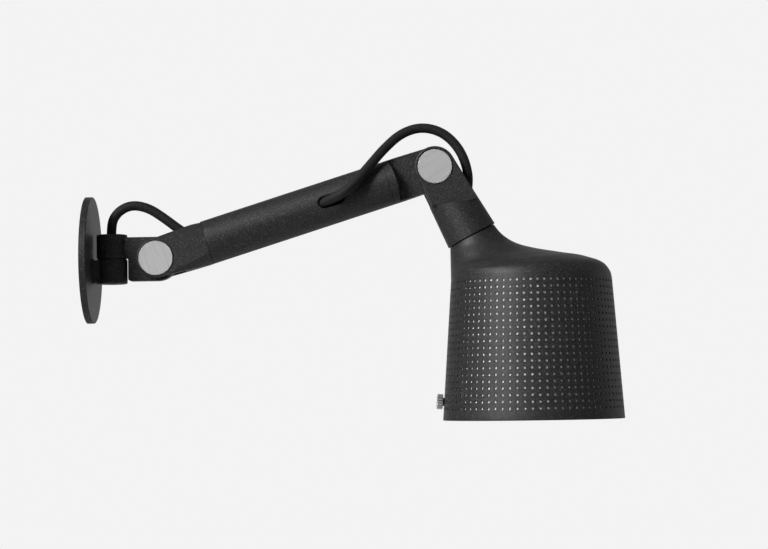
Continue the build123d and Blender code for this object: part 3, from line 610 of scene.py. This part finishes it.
cell_turn = 2 * math.pi / HOLE_COLUMNS
columns = HOLE_COLUMNS * CELL_SIDE
column_turn = FIRST_COLUMN - cell_turn / 2 + np.arange(columns) * cell_turn / CELL_SIDE
cells_top = FIRST_ROW_Z + ROW_PITCH / 2
cells_foot = FIRST_ROW_Z - ROW_PITCH * (HOLE_ROWS - 0.5)
neck_middle = HEAD_PIVOT + HEAD_AXES[0] * NECK_FACE


def cone_reach(z):
    """The cone's outer radius at a height."""
    return RIM_R - CONE_SLOPE * (z - RIM_Z)


def on_cone(turn, z, inset):
    """Points of the cone by their angle from the camera's side and their height, moved in by an inset."""
    turn, z, reach = np.broadcast_arrays(turn, z, cone_reach(z) - inset)
    return np.stack([SHADE_X + reach * np.sin(turn), -reach * np.cos(turn), z], axis=-1)


def on_circles(left, right):
    """For each pair of points in the plane Y = 0, the circle with its diameter from one to the other."""
    half = (right - left) / 2
    reach = np.linalg.norm(half, axis=1)[:, None]
    flat = (left + half)[:, None, :] + half[:, None, :] * np.sin(column_turn)[None, :, None]
    flat[:, :, 1] -= reach * np.cos(column_turn)[None, :]
    return flat


def neck_circle(depth, radius):
    """The ends of a neck circle's diameter, at a depth along the neck's axis."""
    middle = neck_middle + HEAD_AXES[0] * depth
    return middle - HEAD_AXES[1] * radius, middle + HEAD_AXES[1] * radius


def line_through(points, knots, places):
    """A smooth line through points: between two neighbours a cubic with the mean slope of the chords."""
    slopes = np.gradient(points, knots, axis=0)
    i = np.clip(np.searchsorted(knots, places, side="right") - 1, 0, len(knots) - 2)
    width = (knots[i + 1] - knots[i])[:, None]
    t = (places - knots[i])[:, None] / width
    ends = (1 + 2 * t) * (1 - t) ** 2 * points[i] + t**2 * (3 - 2 * t) * points[i + 1]
    return ends + width * (t * (1 - t) ** 2 * slopes[i] - t**2 * (1 - t) * slopes[i + 1])


# the hood's two side lines, from the neck down to the first row of holes
neck_left, neck_right = neck_circle(0, NECK_R)
top_right_foot = np.array([SHADE_X + cone_reach(CONE_TOP), 0, CONE_TOP])
shares = np.stack([SHOULDER_SHARES[:, 0], 0 * SHOULDER_SHARES[:, 0], SHOULDER_SHARES[:, 1]], axis=1)
hood_foot = on_cone(np.array([-0.5, 0.5]) * math.pi, np.array([cells_top, cells_top]), 0)
right_knots = np.concatenate([neck_right + shares * (top_right_foot - neck_right), hood_foot[1:]])
left_knots = neck_left + LEFT_SHARES[:, None] * (hood_foot[0] - neck_left)
knots = np.concatenate([[0], np.cumsum(np.linalg.norm(np.diff(right_knots, axis=0), axis=1))])
places = np.linspace(EDGE_SOFT, knots[-1], HOOD_ROWS)
right_line = line_through(right_knots, knots, places)
left_line = line_through(left_knots, knots, places)
# the same lines on the inside of the wall, below the neck's cap
slope = np.gradient(right_line, axis=0)
slope /= np.linalg.norm(slope, axis=1, keepdims=True)
right_inside = right_line + WALL * np.stack([slope[:, 2], 0 * slope[:, 0], -slope[:, 0]], axis=1)
left_inside = left_line + [WALL, 0, 0]
depth = np.minimum((right_inside - neck_middle) @ HEAD_AXES[0], (left_inside - neck_middle) @ HEAD_AXES[0])
open_below = depth > NECK_CAP + WALL
cap_rings = [
    neck_circle(EDGE_SOFT * 0.25, NECK_R - EDGE_SOFT * 0.2),
    neck_circle(0, NECK_R - EDGE_SOFT),
    neck_circle(0, NECK_HOLE_R),
    neck_circle(NECK_CAP, NECK_HOLE_R),
    neck_circle(NECK_CAP, NECK_R - WALL),
]
inner_foot = on_cone(np.array([-0.5, 0.5]) * math.pi, np.array([cells_top, cells_top]), WALL)
hood_left = np.concatenate([
    left_line[::-1], [ends[0] for ends in cap_rings], left_inside[open_below][:-1], inner_foot[:1],
])
hood_right = np.concatenate([
    right_line[::-1], [ends[1] for ends in cap_rings], right_inside[open_below][:-1], inner_foot[1:],
])
hood_points = on_circles(hood_left, hood_right)

# the cone's punched part: each cell is a square with a hole, as rings of points on its outer edge, its
# hole's outer and inner edge, and its inner edge
steps = np.arange(CELL_SIDE) / CELL_SIDE - 0.5
low = np.full(CELL_SIDE, -0.5)
cell_edge = np.concatenate([
    np.stack([steps, low], axis=1), np.stack([-low, steps], axis=1),
    np.stack([-steps, -low], axis=1), np.stack([low, -steps], axis=1),
])
ring = len(cell_edge)
hole_turn = np.arange(ring) * 2 * math.pi / ring - 0.75 * math.pi
hole_radius = np.full((HOLE_ROWS, HOLE_COLUMNS, 1), HOLE_R)
hole_radius[BUSH_CELL] = 0
cell_middle = (FIRST_COLUMN + cell_turn * np.arange(HOLE_COLUMNS))[None, :, None]
cell_z = (FIRST_ROW_Z - ROW_PITCH * np.arange(HOLE_ROWS))[:, None, None]
edge_turn = cell_middle + cell_turn * cell_edge[:, 0] + 0 * cell_z
edge_z = cell_z + ROW_PITCH * cell_edge[:, 1] + 0 * cell_middle
punched_turn = cell_middle + hole_radius * np.cos(hole_turn) / cone_reach(cell_z)
punched_z = cell_z + hole_radius * np.sin(hole_turn)
cell_points = np.stack([
    on_cone(edge_turn, edge_z, 0), on_cone(punched_turn, punched_z, 0),
    on_cone(punched_turn, punched_z, WALL), on_cone(edge_turn, edge_z, WALL),
], axis=2)
first = np.arange(HOLE_ROWS * HOLE_COLUMNS) * 4 * ring
cell_quads = first[:, None] + ring_quads(4, ring).reshape(1, -1)
cell_quads = cell_quads.reshape(HOLE_ROWS * HOLE_COLUMNS, 3, ring, 4)
whole_cell = np.ravel_multi_index(BUSH_CELL, (HOLE_ROWS, HOLE_COLUMNS))
hole_walls = np.delete(cell_quads[:, 1], whole_cell, axis=0)
cell_quads = np.concatenate([cell_quads[:, 0].reshape(-1, 4), hole_walls.reshape(-1, 4),
                             cell_quads[:, 2].reshape(-1, 4)])

# the plain band below the holes, with a rolled rim, from its inside round to its outside
RIM_PROFILE = np.array([
    (1, cells_foot - RIM_Z), (1, 3.2), (1, 0.4), (0.95, 0.2), (0.8, 0.05), (0.6, 0), (0.4, 0), (0.2, 0.05),
    (0.05, 0.2), (0, 0.4), (0, 3.2), (0, cells_foot - RIM_Z),
])
rim_points = on_cone(column_turn[None, :], RIM_Z + RIM_PROFILE[:, 1:], RIM_PROFILE[:, :1])

parts = [hood_points, cell_points, rim_points]
quads = [ring_quads(len(hood_left), columns), cell_quads, ring_quads(len(RIM_PROFILE), columns)]
starts = np.cumsum([0] + [part.size // 3 for part in parts])
shade_points = np.concatenate([part.reshape(-1, 3) for part in parts]) * MM
shade_quads = np.concatenate([quad + start for quad, start in zip(quads, starts)])
shade = made_piece(
    "perforated_shade", shade_points, shade_quads.tolist(), coat, "black_powder_coat", "lamp_shade",
)
WELD = 0.002 * MM
SHARP = math.radians(38)


def weld(piece, face_outwards=False):
    """Joins points that lie on each other, turns the faces outwards if asked and keeps hard edges sharp."""
    welded = bmesh.new()
    welded.from_mesh(piece.data)
    bmesh.ops.remove_doubles(welded, verts=welded.verts, dist=WELD)
    if face_outwards:
        bmesh.ops.recalc_face_normals(welded, faces=welded.faces)
    welded.to_mesh(piece.data)
    welded.free()
    piece.data.set_sharp_from_angle(angle=SHARP)


weld(shade)
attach(shade, "shade")

# Liner: a thin white plastic sheet rolled into a cone behind the holes. It scatters the lamp's light, and
# with the lamp off it is what shows white in the holes.
LINER = "f2f1ee"
LINER_DUST = "e8e7e3"
DUST = 9 * MM
liner, *_ = mottled("white_diffusing_plastic", LINER, LINER_DUST, DUST, 3.0, Roughness=0.55)
dress(liner, "shade_liner")

# Dimmer: a black moulded body inside the shade, and outside a steel knob with a straight knurl, a chamfer
# at both ends and a slightly dished face, pushed on the shaft.
MOULDED = "19191a"
MOULDED_WORN = "242425"
moulded, *_ = mottled("black_moulded_plastic", MOULDED, MOULDED_WORN, MOTTLE, 3.0, Roughness=0.5)
dress(moulded, "dimmer_body")

DIMMER_UP = 14.6
KNURLS = 18
KNURL_POINTS = 12
KNURL_DEPTH = 0.6
knob_profile = np.array([
    # distance along the axis from the shade, radius, and how much of the knurl it has
    (4.75, 0, 0), (4.75, 2.02, 0), (1, 2.02, 0), (1, 5.1, 0), (1.1, 5.35, 0), (1.5, 5.95, 1),
    (1.6, 6.07, 1), (5.2, 6.07, 1), (5.3, 5.95, 1), (5.7, 5.35, 0), (5.8, 5.1, 0), (5.8, 4.8, 0),
    (5.66, 4.5, 0), (5.6, 2, 0), (5.6, 0, 0),
])
dimmer_middle = on_cone(np.array(-math.pi / 2), np.array(RIM_Z + DIMMER_UP), 0)
knob_axis = np.array([-1, 0, CONE_SLOPE]) / math.hypot(1, CONE_SLOPE)
knob_side = np.array([0, 1.0, 0])
knob_up = np.cross(knob_axis, knob_side)
knob_turn = np.arange(KNURLS * KNURL_POINTS) * 2 * math.pi / (KNURLS * KNURL_POINTS)
knurl = KNURL_DEPTH * (0.5 - 0.5 * np.cos(KNURLS * knob_turn))
knob_reach = knob_profile[:, 1:2] - knob_profile[:, 2:] * knurl
spokes = np.cos(knob_turn)[:, None] * knob_side + np.sin(knob_turn)[:, None] * knob_up
knob_points = dimmer_middle + knob_profile[:, :1, None] * knob_axis + knob_reach[:, :, None] * spokes
STEEL = "f0f0f0"
STEEL_DULL = "dadada"
GROOVE_PAINTED_SHADE = "6a6a6a"
HANDLED = 0.8 * MM
knurled, tree, shader = new_material("knurled_stainless", Metallic=1.0, Roughness=0.42)
place = add(tree, "TexCoord").outputs["Object"]
handled = add(tree, "TexNoise", {"Vector": place, "Scale": 1 / HANDLED, "Detail": 3.0})
steel_colour = add(
    tree, "Mix", {"Factor": handled.outputs["Fac"], 6: linear(STEEL), 7: linear(STEEL_DULL)},
    data_type="RGBA",
)
# the knurl's grooves are painted darker by their depth, a painted shade in the hollows
knurl_shade_mask = add(tree, "Attribute", attribute_name="knurl_shade_mask")
knob_colour_painted_shade = add(
    tree, "Mix", {"Factor": knurl_shade_mask.outputs["Fac"], 6: steel_colour.outputs[2], 7: linear(GROOVE_PAINTED_SHADE)},
    data_type="RGBA",
)
tree.links.new(knob_colour_painted_shade.outputs[2], shader.inputs["Base Color"])
knob = made_piece(
    "knurled_knob", knob_points.reshape(-1, 3) * MM, ring_quads(len(knob_profile), len(knob_turn)).tolist(),
    knurled, "brushed_steel", "dimmer_knob",
)
# how deep each point lies in the knurl, the mask for the grooves' painted shade
depth = knob.data.attributes.new("knurl_shade_mask", "FLOAT", "POINT")
depth.data.foreach_set("value", (knob_profile[:, 2:] * knurl / KNURL_DEPTH).ravel())
weld(knob, face_outwards=True)
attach(knob, "knob")

# Dimmer lead: a white two-core lead from the dimmer up the inside of the liner to the side of the
# lampholder
LINER_BACK = 1.95
LEAD_ROUTE = np.array([(38, 7.7), (62, 6.4), (86, 5.8), (104, 4.6)])
lead_x = SHADE_X - RIM_R + LINER_BACK + CONE_SLOPE * LEAD_ROUTE[:, 0] + LEAD_ROUTE[:, 1]
lead_wall = np.stack([lead_x, 0 * lead_x, RIM_Z + LEAD_ROUTE[:, 0]], axis=1)
LEAD_R = 2 * MM
DIMMER_DEEP = -8.45
DIMMER_EXIT = 8.3
HOLDER_ENTRY = (76.5, -13.8, 0)
HOLDER_APPROACH = 8
lead_start = dimmer_middle + knob_axis * DIMMER_DEEP - knob_up * DIMMER_EXIT
holder_side = np.array(in_head(*HOLDER_ENTRY))
lead_points = [lead_start, *lead_wall, holder_side - HEAD_AXES[1] * HOLDER_APPROACH, holder_side]
lead_mesh_points, lead_faces, _ = tube(smooth_route(lead_points), WIRE_STEP, WIRE_SIDES, LEAD_R)
lead = made_piece(
    "dimmer_lead_sheath", lead_mesh_points, lead_faces, insulation, "wire_insulation", "dimmer_lead",
)
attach(lead, "shade")
